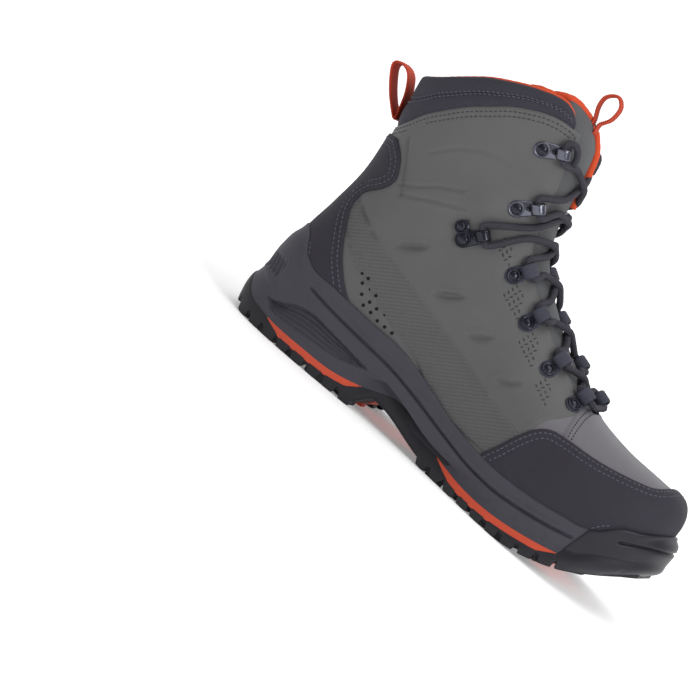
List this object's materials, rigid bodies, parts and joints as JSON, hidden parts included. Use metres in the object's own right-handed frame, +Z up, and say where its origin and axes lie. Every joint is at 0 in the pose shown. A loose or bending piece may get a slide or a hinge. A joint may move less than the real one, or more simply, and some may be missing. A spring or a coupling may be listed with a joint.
{
  "type": "wading boot",
  "caption": "Left lace-up wading boot: high padded collar, webbing lace loops and metal hooks, toe rand and heel counter, cup midsole and lugged two-colour rubber outsole.",
  "frame": {"origin": "on the floor under the middle of the heel, on the lug face that carries the heel", "axes": "+X along the sole to the toe, +Y to the wearer's left, which is the outer side of this left boot, +Z up"},
  "size_m": [0.3327, 0.1181, 0.2502],
  "materials": {
    "outsole_rubber": "matte black rubber",
    "inlay_rubber": "satin orange rubber",
    "midsole_foam": "matte moulded foam",
    "insole_foam": "matte textile over foam",
    "upper_leather": "matte coated synthetic leather",
    "overlay_nubuck": "matte nubuck",
    "collar_fabric": "matte padded textile",
    "tongue_fabric": "matte padded textile",
    "pull_webbing": "ribbed woven webbing",
    "lace_webbing": "woven webbing",
    "lacing_metal": "dark lacquered metal",
    "lace_cord": "round braided cord"
  },
  "bodies": {
    "root": {"outsole": "outsole_rubber", "sole_inlay": "inlay_rubber", "midsole": "midsole_foam", "insole": "insole_foam", "upper": "upper_leather", "toe_rand": "overlay_nubuck", "heel_counter": "overlay_nubuck", "collar": "collar_fabric", "tongue": "tongue_fabric", "heel_loop": "pull_webbing", "tongue_loop": "pull_webbing", "lace_strap_inner_1": "lace_webbing", "rivet_inner_1": "lacing_metal", "lace_strap_inner_2": "lace_webbing", "rivet_inner_2": "lacing_metal", "lace_strap_inner_3": "lace_webbing", "rivet_inner_3": "lacing_metal", "lace_strap_inner_4": "lace_webbing", "rivet_inner_4": "lacing_metal", "ankle_hook_inner": "lacing_metal", "shaft_hook_inner_1": "lacing_metal", "shaft_hook_inner_2": "lacing_metal", "lace_strap_outer_1": "lace_webbing", "rivet_outer_1": "lacing_metal", "lace_strap_outer_2": "lace_webbing", "rivet_outer_2": "lacing_metal", "lace_strap_outer_3": "lace_webbing", "rivet_outer_3": "lacing_metal", "lace_strap_outer_4": "lace_webbing", "rivet_outer_4": "lacing_metal", "ankle_hook_outer": "lacing_metal", "shaft_hook_outer_1": "lacing_metal", "shaft_hook_outer_2": "lacing_metal", "lace_crossing_1": "lace_cord", "lace_crossing_2": "lace_cord", "lace_crossing_3": "lace_cord", "lace_crossing_4": "lace_cord", "lace_crossing_5": "lace_cord", "lace_crossing_6": "lace_cord", "lace_crossing_7": "lace_cord"}
  },
  "joints": []
}
